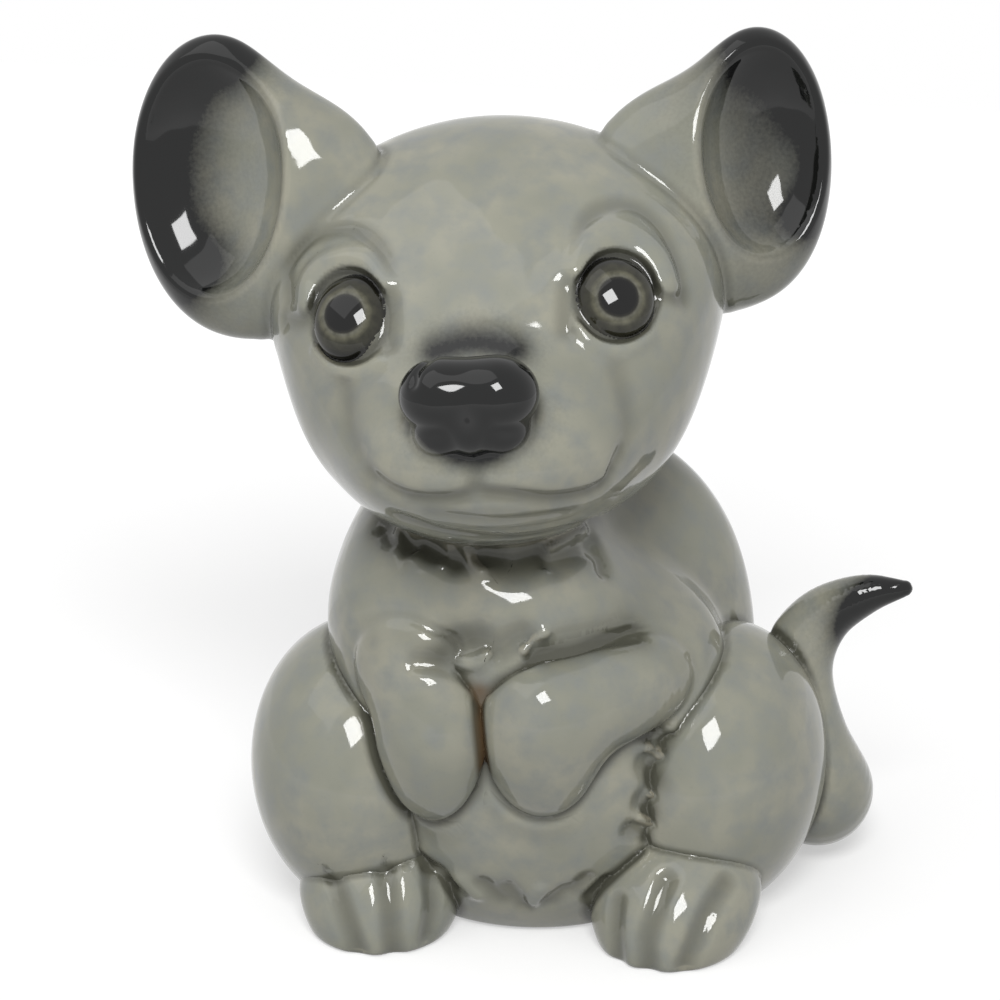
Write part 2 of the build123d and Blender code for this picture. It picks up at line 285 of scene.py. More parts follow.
def net(piece, low, high, size):
    """Points and four-sided faces of a closed skin round the space where a piece's distance is negative."""
    counts = np.ceil((high - low) / (size * block)).astype(int) * block
    starts = low - (counts * size - (high - low)) / 2
    axes = [starts[axis] + size * np.arange(counts[axis]) for axis in range(3)]
    middles = [axis.reshape(-1, block).mean(1) for axis in axes]
    rough_places = np.stack(np.meshgrid(*middles, indexing="ij"), -1).reshape(-1, 3)
    rough = read(piece, rough_places).reshape([len(axis) for axis in middles])
    fine = rough
    for axis in range(3):
        fine = fine.repeat(block, axis)
    values = np.where(fine < 0, -1.0, 1.0)
    searched = np.argwhere(np.abs(fine) < size * block)
    values[tuple(searched.T)] = read(piece, starts + size * searched)
    inside = values < 0
    corner_count = np.zeros(counts - 1, int)
    for shift in np.ndindex(2, 2, 2):
        corner_count += inside[tuple(slice(s, n - 1 + s) for s, n in zip(shift, counts))]
    cells = np.argwhere((corner_count > 0) & (corner_count < 8))
    number = np.full(counts - 1, -1)
    number[tuple(cells.T)] = np.arange(len(cells))
    total = np.zeros((len(cells), 3))
    crossings = np.zeros(len(cells))
    for axis in range(3):
        along = np.eye(3, dtype=int)[axis]
        for shift in np.ndindex(2, 2, 2):
            if shift[axis]:
                continue
            start = values[tuple((cells + shift).T)]
            end = values[tuple((cells + shift + along).T)]
            crossed = (start < 0) != (end < 0)
            share = np.where(crossed, start / np.where(crossed, start - end, 1.0), 0.0)
            total += crossed[:, None] * (np.array(shift) + share[:, None] * along)
            crossings += crossed
    places = starts + size * (cells + total / crossings[:, None])
    faces = []
    for axis in range(3):
        along = np.eye(3, dtype=int)[axis]
        side, other = np.eye(3, dtype=int)[[(axis + 1) % 3, (axis + 2) % 3]]
        room = [slice(0, n - s) for n, s in zip(counts, along)]
        ahead = [slice(s, n) for n, s in zip(counts, along)]
        crossed = np.argwhere(inside[tuple(room)] != inside[tuple(ahead)])
        around = [crossed - side - other, crossed - other, crossed, crossed - side]
        quads = np.stack([number[tuple(cell_index.T)] for cell_index in around], 1)
        outward = inside[tuple(crossed.T)]
        faces.append(np.where(outward[:, None], quads, quads[:, ::-1]))
    return places, np.concatenate(faces)


def settled(places, skin, wall, size):
    """Net points moved onto the skin, onto the hidden wall of the joint, or onto the edge of both."""
    skin_distance = read(skin, places)
    wall_distance = read(wall, places)
    near = near_share * size
    edge = np.flatnonzero((np.abs(skin_distance) < near) & (np.abs(wall_distance) < near))
    hidden = np.flatnonzero((skin_distance <= -near) & (np.abs(wall_distance) < near))
    open_skin = np.setdiff1d(np.arange(len(places)), np.concatenate((edge, hidden)))
    for _ in range(settling_rounds):
        for group, form in ((open_skin, skin), (hidden, wall)):
            distance, slope = slope_of(form, places[group])
            step = distance[:, None] * slope / np.maximum((slope**2).sum(1), least_slope)[:, None]
            places[group] -= np.clip(step, -size, size)
        first, first_slope = slope_of(skin, places[edge])
        second, second_slope = slope_of(wall, places[edge])
        aa = (first_slope**2).sum(1)
        bb = (second_slope**2).sum(1)
        ab = (first_slope * second_slope).sum(1)
        spread = np.maximum(aa * bb - ab**2, least_spread)
        pull_first = (bb * first - ab * second) / spread
        pull_second = (aa * second - ab * first) / spread
        step = pull_first[:, None] * first_slope + pull_second[:, None] * second_slope
        places[edge] -= np.clip(step, -size, size)
    return places, hidden


def sculpted(name, node, skin, wall, low, high, size=cell):
    """A piece of clay as an object that stands for its node of the solid model."""
    places, faces = net(lambda points: np.maximum(skin(points), wall(points)), low, high, size)
    places, hidden = settled(places, skin, wall, size)
    _, facing = slope_of(skin, places)
    facing[hidden] = slope_of(wall, places[hidden])[1]
    facing /= np.maximum(np.linalg.norm(facing, axis=1), tiny)[:, None]
    mesh = bpy.data.meshes.new(name)
    mesh.from_pydata((places * millimetre).tolist(), [], faces.tolist())
    mesh.shade_smooth()
    mesh.normals_split_custom_set_from_vertices(facing.tolist())
    piece = bpy.data.objects.new(name, mesh)
    bpy.context.collection.objects.link(piece)
    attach(piece, "root")
    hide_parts(node)
    return piece


def whole(points):
    """The wall of a piece that is luted to nothing before it."""
    return np.full(len(points), -far_off)


low, high = node_box("body_shell")
plain_torso = eggs(torso_eggs, node_middle("body_shell"))
marks = drawn(plain_torso, torso_strokes)  # every stroke on the figure, darkened in the glaze by pooled glaze and painted shade
figure = on_table(tooled(plain_torso, marks))
room = 15.0  # space left round a node's box when its skin is looked for
torso = sculpted("torso", "body_shell", figure, whole, low - room, high + room)

# Head
# The head is a second hollow casting, a round skull with a low broad muzzle, luted over the hole in
# the neck, turned a little to the mouse's left and tipped up. Brows, lids, cheeks and mouth are
# modelled by hand and sharpened with a wooden tool before the joint is made.
head_yaw = 7.0
head_pitch = 8.0
head_roll = -3.5
head_shift = (0.1, 2.3, 1.0)  # the skull's middle from the middle of the node
head_cell = 0.84 * cell
head_eggs = (
    # middle from the skull's middle, half sizes, how softly it flows into the one before
    ((0.5, 2.0, 2.6), (29.3, 27.0, 24.5), 0.0),
    ((0.5, -7.0, -9.6), (23.6, 19.0, 17.3), 8.0),
)
muzzle_middle = (0.0, -18.0, -13.2)
muzzle_half = (17.0, 14.6, 10.7)
muzzle_flow = 6.0
face_slope = 42.0  # the face, from brow to muzzle, looks up by this much
face_flat = 18.6  # and lies this far from the skull's middle
face_bend = 70.0  # radius that it is still curved by
face_round = 6.0
neck_fillet = 2.0
fillet_most = 9.0  # the softest joint of all
joint_bed = 1.5  # depth that a piece is bedded below the skin of the one before
score_reach = 3  # score widths on each side of the seam that the newer piece covers
# Mouth, chin, cheeks, brows, lids and the lines beside the eyes, given like the torso's strokes
head_strokes = (
    (((378, 486), (397, 495), (423, 500), (450, 500), (483, 495), (517, 497), (550, 500), (583, 495),
      (602, 487)), 0.65, 1.2),
    (((372, 480), (384, 488), (397, 496)), 0.9, 0.7),
    (((622, 452), (616, 462), (612, 472)), 0.6, 0.6),
    (((612, 472), (608, 480), (602, 487)), 0.5, 0.5),
    (((476, 452), (475, 470), (475, 492)), 0.8, 0.6),
    (((343, 385), (347, 405), (350, 430), (362, 460), (374, 482)), 1.1, 0.35),
    (((618, 372), (626, 400), (628, 430), (622, 455)), 1.1, 0.3),
    (((400, 517), (450, 532), (517, 537), (583, 524), (633, 507)), 0.8, 0.6),
    (((430, 513), (500, 520), (570, 512)), 0.7, 0.25),
    (((288, 300), (289, 268), (308, 242), (335, 229), (358, 231), (376, 245), (386, 268), (391, 300),
      (388, 345)), 0.9, 0.55),
    (((566, 330), (567, 290), (572, 255), (590, 216), (615, 204), (640, 209), (662, 230), (676, 262),
      (684, 290)), 0.9, 0.5),
    (((306, 302), (309, 280), (324, 263), (347, 256), (370, 262), (387, 282)), 1.1, -1.2),
    (((574, 268), (588, 244), (612, 234), (638, 240), (657, 260), (666, 286)), 1.5, -1.5),
    (((316, 350), (333, 368), (358, 373), (382, 361)), 0.7, -0.5),
    (((580, 327), (598, 345), (626, 350), (650, 336)), 0.7, -0.45),
    (((312, 318), (298, 322), (284, 320)), 0.9, 0.6),
    (((652, 296), (668, 297), (684, 299)), 0.8, 0.7),
)
# Each eye socket: the pixel of its middle, and half sizes in pixels
sockets = (((349, 316), (36, 43)), ((616, 296), (38, 41)))
socket_width = 0.45  # half width of the groove round it
socket_depth = 1.0
ring_points = 25


def ring(middle, half):
    """Pixels of a closed ring."""
    angles = np.linspace(0, 2 * np.pi, ring_points)
    return np.column_stack((middle[0] + half[0] * np.cos(angles), middle[1] + half[1] * np.sin(angles)))


def luted(old, form, low, high, fillet, score_depth=0.0, score_width=1.0):
    """The figure with one more form luted to it, and the wall where that form's piece ends.
    The joint is smoothed over its fillet, a length or a field of lengths, and scored along the seam.
    """
    spread = fillet if callable(fillet) else lambda points: np.full(len(points), fillet)
    least = score_reach * score_width * (score_depth > 0)
    margin = fillet_most + room

    def both(points):
        before = old(points)
        after = np.full(len(points), far_off)
        near = np.flatnonzero(((points > low - margin) & (points < high + margin)).all(1))
        after[near] = form(points[near])
        return before, after, spread(points)

    def skin(points):
        before, after, reach = both(points)
        score = score_depth * np.exp(-(((before - after) / score_width) ** 2))
        return flow(before, after, reach) + score

    def wall(points):
        before, after, reach = both(points)
        return np.maximum((after - before - np.maximum(reach, least)) / 2, -before - joint_bed)

    return skin, wall


head_axes = turned(head_yaw, head_pitch, head_roll)
head_middle = node_middle("head_shell") + head_shift
head_round = eggs(head_eggs, head_middle, head_axes)
face_way = head_axes @ np.array((0.0, -np.cos(np.radians(face_slope)), np.sin(np.radians(face_slope))))
face_ball = egg(head_middle + (face_flat - face_bend) * face_way, (face_bend,) * 3)
muzzle = egg(head_middle + head_axes @ np.array(muzzle_middle), muzzle_half, head_axes)


def plain_head(points):
    """The skull with its face flattened and the muzzle on it."""
    return flow(trim(head_round(points), face_ball(points), face_round), muzzle(points), muzzle_flow)


low, high = node_box("head_shell")
socket_strokes = tuple((ring(*socket), socket_width, socket_depth) for socket in sockets)
head_marks = drawn(plain_head, head_strokes + socket_strokes)
head_form = tooled(plain_head, head_marks)
marks += head_marks
figure, wall = luted(figure, head_form, low, high, neck_fillet)
head = sculpted("head", "head_shell", figure, wall, low - room, high + room, head_cell)

# Ears
# The ears are solid, pressed by thumb into wide cups with a thin rolled rim, and luted to the
# temples so that their thick inner edge flows into the skull.
ear_rim_round = 1.2
ear_flow = 9.0
ear_fillet = 3.0
ear_score = 0.5
ear_score_width = 1.2
ears = (
    # side, the ear's turns, middle and half sizes of its fan,
    # middle, half sizes and lean of the web to the skull, middle and half sizes of the scoop
    (
        "right", (-2.0, 10.0, -4.0), (-34.8, 2.6, 19.8), (11.6, 6.0, 18.4),
        (-25.6, 1.2, 14.4), (12.6, 7.2, 15.4), 28.0,
        (-36.6, -4.6, 21.4), (11.3, 8.4, 16.4),
    ),
    (
        "left", (26.0, 10.0, 2.0), (34.6, 8.2, 19.4), (9.8, 6.0, 16.4),
        (25.6, 7.6, 13.8), (12.6, 7.2, 15.0), -33.0,
        (37.0, 1.4, 21.4), (9.2, 8.2, 14.6),
    ),
)


def from_head(place):
    """A place given in the head's own frame."""
    return head_middle + head_axes @ np.asarray(place, float)


def ear_form(axes, middle, half, web, web_half, web_lean, scoop, scoop_half):
    """A cupped ear with its web."""
    yaw, pitch, roll = axes
    fan = egg(from_head(middle), half, turned(*axes))
    web_form = egg(from_head(web), web_half, turned(yaw, pitch, roll + web_lean))
    hollow = egg(from_head(scoop), scoop_half, turned(*axes))
    return lambda points: trim(flow(fan(points), web_form(points), ear_flow), -hollow(points), ear_rim_round)


ear_pieces = []
for side, *shape in ears:
    node = f"{side}_ear"
    low, high = node_box(node)
    form = ear_form(*shape)
    figure, wall = luted(figure, form, low, high, ear_fillet, ear_score, ear_score_width)
    ear = sculpted(f"{side}_cupped_ear", node, figure, wall, low - room, high + room)
    ear_pieces.append(ear)

# Black airbrushed under the glaze, and painted shade inside the ear cups: pixels that it runs through, how
# far it spreads, how dense it is
ear_black_and_cup_shade = (
    (((222, 46), (180, 72), (156, 120), (148, 180), (158, 232), (182, 268)), 3.6, 1.9),
    (((752, 34), (790, 48), (816, 84), (824, 130), (822, 176), (808, 214)), 2.6, 1.6),
    (((745, 62), (775, 78), (800, 112)), 3.4, 1.0),
    # painted shade: these two rows darken the inside of the cups
    (((748, 110), (758, 160), (762, 215)), 5.5, 0.62),
    (((200, 90), (196, 150), (196, 210), (212, 262)), 4.0, 0.55),
)
black_paint_and_shade = drawn(figure, ear_black_and_cup_shade)

# Nose
# The nose is a solid button of four soft lobes, pressed on to the front of the muzzle. Its nostrils
# are slit into the upper corners.
nose_middle = (-0.3, -30.5, -5.4)
nose_eggs = (
    # middle from the nose's own middle, half sizes, how softly it flows into the one before
    ((-3.3, 0.0, 1.4), (5.3, 5.0, 4.8), 0.0),
    ((3.3, 0.0, 1.4), (5.3, 5.0, 4.8), 3.0),
    ((0.0, 0.2, -2.2), (3.8, 4.6, 4.0), 1.5),
    ((-3.6, 0.7, -3.1), (3.6, 3.9, 3.3), 1.0),
    ((3.6, 0.7, -3.1), (3.6, 3.9, 3.3), 1.0),
)
nose_strokes = (
    (((413, 384), (418, 369), (436, 354)), 0.45, 0.5),
    (((514, 352), (526, 358), (534, 371)), 0.45, 0.5),
)
nose_fillet = 0.6
nose_cell = 0.3
nose_mist = (
    (((436, 394), (474, 384), (510, 390)), 3.6, 3.0),
    (((440, 424), (474, 432), (506, 420)), 2.0, 1.6),
    (((434, 352), (474, 343), (516, 350)), 1.6, 0.85),
    (((440, 338), (474, 330), (510, 336)), 1.4, 0.3),
    (((410, 390), (420, 426), (446, 450), (474, 456), (500, 450), (526, 426), (536, 392)), 1.2, 0.95),
)
low, high = node_box("nose")
plain_nose = eggs(nose_eggs, from_head(nose_middle), head_axes)
form = tooled(plain_nose, drawn(plain_nose, nose_strokes))
figure, wall = luted(figure, form, low, high, nose_fillet)
nose = sculpted("button_nose", "nose", figure, wall, low - room, high + room, nose_cell)
black_paint_and_shade += drawn(figure, nose_mist)

# Forelegs
# The forelegs are solid rolls of clay that taper from the shoulders and end in long soft paws. They
# are laid across the chest with the paws side by side, luted on and scored along the seam.


def rope(line, radii):
    """Distance to a round limb along a line, its radius changing evenly from place to place."""

    def form(points):
        distance = np.full(len(points), np.inf)
        for start, end, first, last in zip(line, line[1:], radii, radii[1:]):
            run = end - start
            share = np.clip((points - start) @ run / (run @ run), 0, 1)
            gap = np.linalg.norm(points - start - share[:, None] * run, axis=1)
            distance = np.minimum(distance, gap - first - (last - first) * share)
        return distance

    return form


foreleg_fillet = 1.0
foreleg_softening = 0.5  # how fast the joint's fillet grows outside the tight stretch at the paws
foreleg_score = 0.5
foreleg_score_width = 0.8
paw_flow = 4.0
forelegs = (
    # side, along the arm: pixel, height of its middle above the torso, radius
    # the paw's pixel, height, half sizes and turns
    # middle and radius of the tight stretch, strokes of the tool
    (
        "right",
        ((392, 640, -8.6, 8.0), (412, 682, -4.4, 8.3), (428, 725, -2.8, 7.4)),
        ((434, 748), 0.0, (6.8, 5.4, 10.2), (-10.0, -4.0, 4.0)),
        (462, 745), 9.0,
        ((((418, 662), (450, 667), (477, 681)), 0.9, 0.8),),
    ),
    (
        "left",
        ((690, 655, -7.4, 6.0), (642, 686, -3.6, 6.8), (595, 704, -2.6, 7.6), (545, 716, -2.2, 7.8)),
        ((541, 745), 0.0, (7.4, 5.8, 10.0), (4.0, -4.0, -2.0)),
        (560, 720), 11.0,
        ((((492, 683), (520, 664), (560, 652), (600, 643), (636, 637)), 0.9, 0.5),),
    ),
)


def softening(middle, tight):
    """A fillet that is tight round a middle and grows outside it."""
    return lambda points: np.clip(
        foreleg_fillet + foreleg_softening * (np.linalg.norm(points - middle, axis=1) - tight),
        foreleg_fillet,
        fillet_most,
    )


def lifted(pixels, height):
    """Places a height above the torso's plain skin, where pixels of the photograph fall on it."""
    places = seen(plain_torso, pixels)
    return places + np.reshape(height, (-1, 1)) * slope_of(plain_torso, places)[1]


def joined(first, second, reach):
    """Two forms as one, flowing into each other."""
    return lambda points: flow(first(points), second(points), reach)


foreleg_pieces = []
for side, arm_rows, paw_row, tight_pixel, tight, strokes in forelegs:
    node = f"{side}_foreleg"
    low, high = node_box(node)
    arm_rows = np.array(arm_rows, float)
    line = curve(np.column_stack((lifted(arm_rows[:, :2], arm_rows[:, 2]), arm_rows[:, 3])))
    arm = rope(line[:, :3], line[:, 3])
    paw_pixel, paw_height, paw_half, paw_turn = paw_row
    paw = egg(lifted((paw_pixel,), paw_height)[0], paw_half, turned(*paw_turn))
    limb = joined(arm, paw, paw_flow)
    form = tooled(limb, drawn(limb, strokes))
    soft = softening(seen(plain_torso, (tight_pixel,))[0], tight)
    figure, wall = luted(figure, form, low, high, soft, foreleg_score, foreleg_score_width)
    spare = room + fillet_most
    foreleg = sculpted(f"{side}_arm_and_paw", node, figure, wall, low - spare, high + spare)
    foreleg_pieces.append(foreleg)

# Haunches
# The haunches are solid pads of clay, pressed flat against the flanks and leaning in a little. They
# are luted to the torso, behind the forelegs, and stand on the table with it.
haunch_half = (15.5, 19.5, 20.2)
haunch_fillet = 1.6
haunch_score = 0.5
haunch_score_width = 0.8
haunches = (
    # side, middle, lean
    ("right", (-20.1, -5.5, 18.3), -8.0),
    ("left", (24.9, 3.5, 17.9), 8.0),
)
haunch_pieces = []
for side, middle, lean in haunches:
    node = f"{side}_haunch"
    low, high = node_box(node)
    form = on_table(egg(middle, haunch_half, turned(roll=lean)))
    figure, wall = luted(figure, form, low, high, haunch_fillet, haunch_score, haunch_score_width)
    haunch = sculpted(f"{side}_thigh", node, figure, wall, low - room, high + room)
    haunch_pieces.append(haunch)

# Hind feet
# The hind feet are solid, sloping down to their toes from under the haunches. Three grooves, cut
# with the wooden tool, part the toes of each.
foot_half = (11.3, 14.4, 8.9)
foot_pitch = -32.0
foot_fillet = 1.2
foot_score = 0.4
foot_score_width = 0.7
feet = (
    # side, middle, turn, strokes between the toes
    ("right", (-16.2, -14.0, 6.4), 5.0, (
        (((329, 864), (340, 900), (357, 950)), 0.8, 1.2),
        (((385, 864), (390, 905), (394, 955)), 0.8, 1.2),
        (((430, 870), (433, 905), (428, 935)), 0.8, 1.1),
    )),
    ("left", (22.8, -10.8, 6.4), -5.0, (
        (((617, 902), (615, 930), (618, 962)), 0.8, 0.9),
        (((667, 880), (657, 907), (647, 940), (648, 972)), 0.8, 1.2),
        (((727, 882), (713, 903), (700, 930), (686, 965)), 0.8, 1.2),
    )),
)
foot_pieces = []
for side, middle, yaw, strokes in feet:
    node = f"{side}_hind_foot"
    low, high = node_box(node)
    plain_foot = egg(middle, foot_half, turned(yaw, foot_pitch))
    foot_marks = drawn(plain_foot, strokes)
    form = on_table(tooled(plain_foot, foot_marks))
    marks += foot_marks
    figure, wall = luted(figure, form, low, high, foot_fillet, foot_score, foot_score_width)
    foot = sculpted(f"{side}_toed_foot", node, figure, wall, low - room, high + room)
    foot_pieces.append(foot)

# Tail
# The tail is a solid tapering roll of clay. It starts at the middle of the back, lies on the table
# round the left haunch, climbs the flank and turns its black tip out.
tail_fillet = 1.5
tail_score = 0.5
tail_score_width = 0.8
tail_mist = ((((846, 640), (866, 612), (892, 593), (914, 588)), 2.6, 1.9),)
tail_places = (
    # place, radius
    (0.0, 21.0, 9.5, 8.2),
    (10.0, 28.8, 9.0, 8.2),
    (21.0, 32.8, 8.4, 8.2),
    (30.3, 30.0, 8.2, 8.1),
    (35.9, 22.8, 8.4, 7.9),
    (38.0, 15.8, 10.6, 7.7),
    (36.2, 13.0, 18.5, 6.4),
    (34.8, 12.7, 26.4, 5.5),
    (35.5, 13.1, 32.0, 4.8),
    (38.6, 13.5, 37.0, 3.9),
    (43.9, 13.5, 40.4, 2.7),
    (49.2, 13.6, 41.7, 1.1),
)
low, high = node_box("tail")
line = curve(tail_places)
form = on_table(rope(line[:, :3], line[:, 3]))
figure, wall = luted(figure, form, low, high, tail_fillet, tail_score, tail_score_width)
tail = sculpted("curled_tail", "tail", figure, wall, low - room, high + room)
black_paint_and_shade += drawn(figure, tail_mist)

# Eyes
# The eyes are beads of clay pressed into the sockets, painted with a black pupil in a pale ring on
# an olive ground. The groove round each is filled with black.
eyes = (
    # side, pixel of the bead's middle, way that it looks, half sizes, pixel of the pupil's middle
    ("right", (349, 316), (-4.0, 34.0), (4.8, 5.5, 3.0), (343, 313)),
    ("left", (616, 296), (20.0, 34.0), (5.0, 5.2, 3.0), (619, 296)),
)
eye_sunk = 1.0  # how far each bead's middle lies under the skin
eye_fillet = 0.3
eye_cell = 0.4 * cell
eye_room = 8.0  # space left round an eye's middle when its skin is looked for
socket_mist_spread = 0.45
socket_mist_density = 0.8
eye_streak = 1.1  # size of the brush marks in the paint
eye_streak_colour = "#3a3a2c"
iris = 6.0  # radius that the painted rings are given as shares of
eye_rings = (
    (0.0, "#020202"),
    (0.36, "#030303"),
    (0.41, "#2a2922"),
    (0.45, "#77766a"),
    (0.52, "#6c6a58"),
    (0.6, "#3f3e30"),
    (0.74, "#343327"),
    (0.82, "#14130e"),
    (1.0, "#070706"),
)


def linear(colour):
    """A colour written as hex, in the linear values that a shader takes."""
    shares = [int(colour[place:place + 2], 16) / 255 for place in (1, 3, 5)]
    bright = [share / 12.92 if share <= 0.04045 else ((share + 0.055) / 1.055) ** 2.4 for share in shares]
    return [*bright, 1.0]


def added(tree, kind, inputs=(), **settings):
    """A node added to a tree, with its settings, and its sockets set or linked."""
    made = tree.nodes.new(kind)
    for name, value in settings.items():
        setattr(made, name, value)
    for socket, value in inputs:
        if isinstance(value, bpy.types.NodeSocket):
            tree.links.new(value, made.inputs[socket])
        else:
            made.inputs[socket].default_value = value
    return made


def new_material(name):
    """A new material, its node tree, its shader and the place that each point has in the figure."""
    material = bpy.data.materials.new(name)
    material.use_nodes = True
    tree = material.node_tree
    place = added(tree, "ShaderNodeTexCoord").outputs["Object"]
    return material, tree, tree.nodes["Principled BSDF"], place


# Paint under clear glaze: dull rings of colour below a wet, sharp shine
enamel, tree, shader, place_in_figure = new_material("painted and glazed eye")
distance = added(tree, "ShaderNodeAttribute", attribute_name="from_pupil").outputs["Fac"]
ramp = added(tree, "ShaderNodeValToRGB", ((0, distance),))
while len(ramp.color_ramp.elements) < len(eye_rings):
    ramp.color_ramp.elements.new(1.0)
for element, (share, colour) in zip(ramp.color_ramp.elements, eye_rings):
    element.position = share
    element.color = linear(colour)
streaks = added(
    tree, "ShaderNodeTexNoise",
    (("Vector", place_in_figure), ("Scale", 1 / (eye_streak * millimetre))),
).outputs["Fac"]
mixed = added(
    tree, "ShaderNodeMix",
    ((0, streaks), (6, ramp.outputs["Color"]), (7, linear(eye_streak_colour))),
    data_type="RGBA", blend_type="OVERLAY",
)
tree.links.new(mixed.outputs[2], shader.inputs["Base Color"])
shader.inputs["Roughness"].default_value = 0.04
shader.inputs["IOR"].default_value = 1.5
shader.inputs["Specular IOR Level"].default_value = 0.4
for side, pixel, way, half, pupil_pixel in eyes:
    node = f"{side}_eye"
    middle = seen(plain_head, (pixel,))[0]
    yaw, rise = np.radians(way)
    look = np.array((np.sin(yaw) * np.cos(rise), -np.cos(yaw) * np.cos(rise), np.sin(rise)))
    across = np.array((np.cos(yaw), np.sin(yaw), 0.0))
    axes = np.stack((across, np.cross(look, across), look), 1)
    form = egg(middle - eye_sunk * look, half, axes)
    figure, wall = luted(figure, form, middle - half[1], middle + half[1], eye_fillet)
    low, high = middle - eye_room, middle + eye_room
    eye = sculpted(f"{side}_eye_bead", node, figure, wall, low, high, eye_cell)
    eye.data.materials.append(enamel)
    places = np.empty(3 * len(eye.data.vertices))
    eye.data.vertices.foreach_get("co", places)
    apart = places.reshape(-1, 3) / millimetre - seen(figure, (pupil_pixel,))[0]
    apart -= np.outer(apart @ look, look)
    from_pupil = eye.data.attributes.new("from_pupil", "FLOAT", "POINT")
    from_pupil.data.foreach_set("value", np.linalg.norm(apart, axis=1) / iris)
for socket in sockets:
    black_paint_and_shade.append((seen(plain_head, ring(*socket)), socket_mist_spread, socket_mist_density))

# Glaze
# The whole figure is dipped in one glossy grey glaze and fired. The glaze runs off edges, where the
# warm clay shows through, and clouds into bluish and olive patches. Creases and tool strokes are
# painted darker, partly as glaze gathered there and partly as painted shade.
crease_shade_reach = 1.8  # how far off the skin another skin still makes a crease that is painted in shade
edge_reach = 1.3  # how far under it the clay still has to be for the glaze to stay on
stroke_pool_and_shade = 0.45  # how dark a stroke is painted, as pooled glaze and shade, for each millimetre of its depth
fullest_cover = 2.0
paw_stain = ((((480, 690), (481, 720), (482, 760)), 0.9, 1.0),)  # brown rubbed in between the paws
speckle = 0.2  # how much of the grain shows in the edge of the black
ripple_depth = 0.12
base_colour = "#828377"
patterns = (
    # name, size of its clouds, detail
    ("cloud", 11.0, 2.0),
    ("mottle", 3.6, 3.0),
    ("grain", 0.5, 2.0),
    ("ripple", 5.0, 1.0),
)
coats = (
    # what it follows, value where it begins, value where it is full, colour
    ("cloud", 0.38, 0.62, "#8f8e80"),
    ("mottle", 0.42, 0.75, "#7c7f7a"),
    # painted shade: creases and tool strokes turn darker grey, partly from glaze pooled there
    ("pooled_glaze_and_shade", 0.04, 0.75, "#4f4f45"),
    ("worn", 0.25, 1.2, "#b9b29d"),
    ("brown", 0.0, 1.0, "#5d4a33"),
    # black paint, and painted shade inside the ear cups
    ("black", 0.12, 0.95, "#090a0a"),
)


def sprayed(points, mist):
    """How densely a mist of colour covers each point."""
    bare = np.ones(len(points))
    for line, spread, density in mist:
        low, high = fade_box(line, spread)
        near = np.flatnonzero(((points > low) & (points < high)).all(1))
        cover = density * np.exp(-squared_distance(points[near], line) / (2 * spread**2))
        bare[near] *= 1 - np.clip(cover, 0, 1)
    return 1 - bare


# Clear gloss over clouded grey with painted shade in its creases: small sharp highlights, and a faint ripple
# in what it mirrors
glaze, tree, shader, place_in_figure = new_material("glossy grey glaze on earthenware")
follows = {}
for name in ("pooled_glaze_and_shade", "worn", "black", "brown"):
    follows[name] = added(tree, "ShaderNodeAttribute", attribute_name=name).outputs["Fac"]
for name, size, detail in patterns:
    inputs = (("Vector", place_in_figure), ("Scale", 1 / (size * millimetre)), ("Detail", detail))
    follows[name] = added(tree, "ShaderNodeTexNoise", inputs).outputs["Fac"]
follows["black"] = added(
    tree, "ShaderNodeMath",
    ((0, follows["grain"]), (1, speckle), (2, follows["black"])),
    operation="MULTIPLY_ADD",
).outputs[0]
colour = linear(base_colour)
for name, begins, full, coat_colour in coats:
    cover = added(
        tree, "ShaderNodeMapRange",
        (("Value", follows[name]), ("From Min", begins), ("From Max", full)),
    ).outputs["Result"]
    colour = added(
        tree, "ShaderNodeMix",
        ((0, cover), (6, colour), (7, linear(coat_colour))),
        data_type="RGBA",
    ).outputs[2]
bump = added(
    tree, "ShaderNodeBump",
    (("Height", follows["ripple"]), ("Distance", ripple_depth * millimetre), ("Strength", 1.0)),
)
tree.links.new(colour, shader.inputs["Base Color"])
tree.links.new(bump.outputs["Normal"], shader.inputs["Normal"])
shader.inputs["Roughness"].default_value = 0.06
shader.inputs["IOR"].default_value = 1.5
shader.inputs["Specular IOR Level"].default_value = 0.4
shaded_grooves = [(line, width, stroke_pool_and_shade * depth) for line, width, depth in marks if depth > 0]
stain = drawn(figure, paw_stain)
for piece in (torso, head, nose, tail, *ear_pieces, *foreleg_pieces, *haunch_pieces, *foot_pieces):
    places = np.empty(3 * len(piece.data.vertices))
    facing = np.empty_like(places)
    piece.data.vertices.foreach_get("co", places)
    piece.data.vertex_normals.foreach_get("vector", facing)
    places = places.reshape(-1, 3) / millimetre
    facing = facing.reshape(-1, 3)
    # Painted shade: darker where another skin lies close outside, as in creases
    crease_shade = 1 - read(figure, places + crease_shade_reach * facing) / crease_shade_reach
    coat_cover = {
        "pooled_glaze_and_shade": crease_shade + sprayed(places, shaded_grooves),
        "worn": 1 + read(figure, places - edge_reach * facing) / edge_reach,
        "black": sprayed(places, black_paint_and_shade),
        "brown": sprayed(places, stain),
    }
    for name, values in coat_cover.items():
        layer = piece.data.attributes.new(name, "FLOAT", "POINT")
        layer.data.foreach_set("value", np.clip(values, 0, fullest_cover))
    piece.data.materials.append(glaze)

# Table
# The table is a sheet of plain white paper, matt enough to mirror nothing. It comes out just white
# round the figure, so that the figure's soft shadow still shows on it.
half_floor = 0.45  # metres
floor_mesh = bpy.data.meshes.new("table")
floor_corners = [(x * half_floor, y * half_floor, 0.0) for x, y in ((-1, -1), (1, -1), (1, 1), (-1, 1))]
floor_mesh.from_pydata(floor_corners, [], [(0, 1, 2, 3)])
floor = bpy.data.objects.new("table", floor_mesh)
bpy.context.collection.objects.link(floor)
near_floor = 0.12  # metres from the figure's middle at which the paper's own white starts to grow
far_floor = 0.4  # and where it is full, so that the paper ends unseen
near_lift = 0.48
far_lift = 0.68
